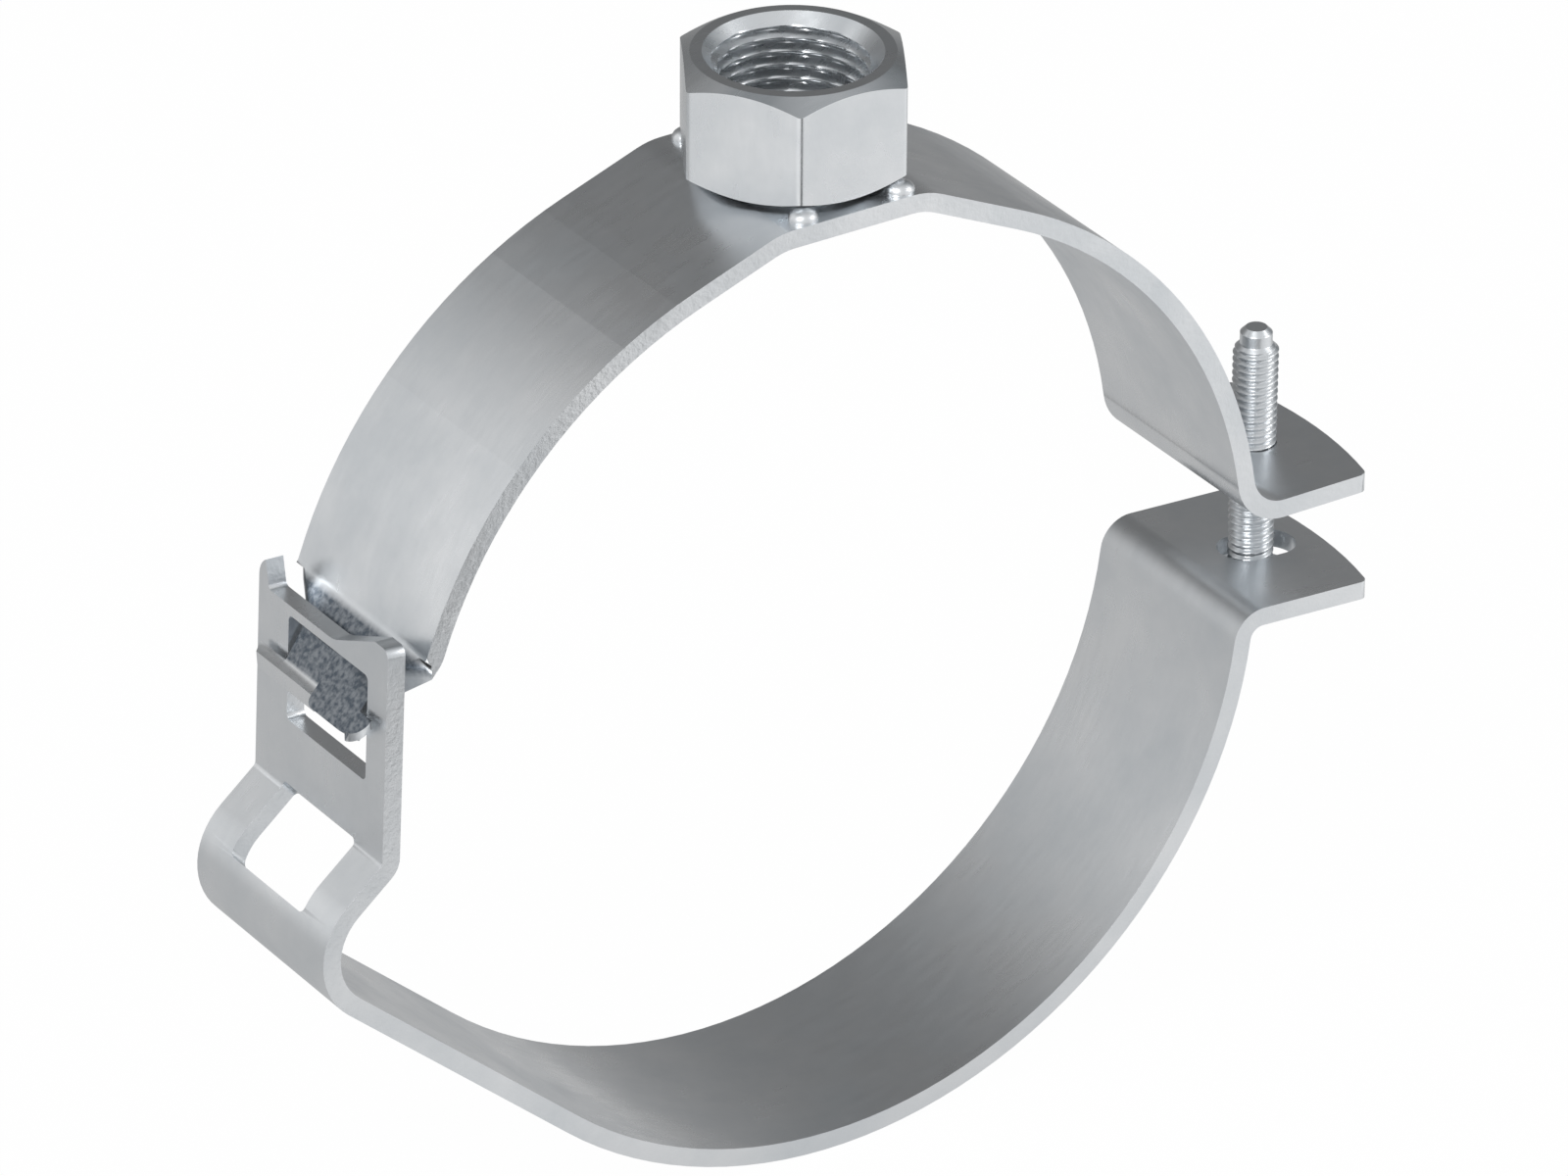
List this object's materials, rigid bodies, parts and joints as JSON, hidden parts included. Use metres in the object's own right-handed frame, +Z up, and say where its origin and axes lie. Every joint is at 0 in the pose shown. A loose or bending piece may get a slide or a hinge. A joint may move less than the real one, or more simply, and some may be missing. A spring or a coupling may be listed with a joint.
{
  "type": "pipe bracket",
  "caption": "Two-part pipe ring of bent steel strip with a threaded hexagon socket on a flat seat, a hook hinge on one side and a closing screw on the other",
  "frame": {"origin": "centre of the pipe, on the axis of the upper band's ring, halfway along the strip's width", "axes": "+X towards the closing screw and its flanges, +Y along the pipe, +Z up through the threaded socket"},
  "size_m": [0.158, 0.03, 0.1478],
  "materials": {
    "zinc_plated_steel": "bright zinc plating with a soft sheen"
  },
  "bodies": {
    "upper": {"upper_band": "zinc_plated_steel", "hex_socket": "zinc_plated_steel", "weld_nubs": "zinc_plated_steel"},
    "lower": {"lower_band": "zinc_plated_steel"},
    "screw": {"closing_screw": "zinc_plated_steel"}
  },
  "joints": [
    {"name": "lower_band_swing", "type": "hinge", "parent": "upper", "child": "lower", "pos_m": [-0.065, 0, 0.0129], "axis": [0, 1, 0], "range_deg": [-4, 5]},
    {"name": "closing_screw_travel", "type": "slide", "parent": "upper", "child": "screw", "axis": [0, 0, 1], "range_m": [-0.0127, 0.01016]}
  ],
  "couplings": [
    {"joint": "closing_screw_travel", "follows": "lower_band_swing", "m_per_rad": -0.1455}
  ]
}
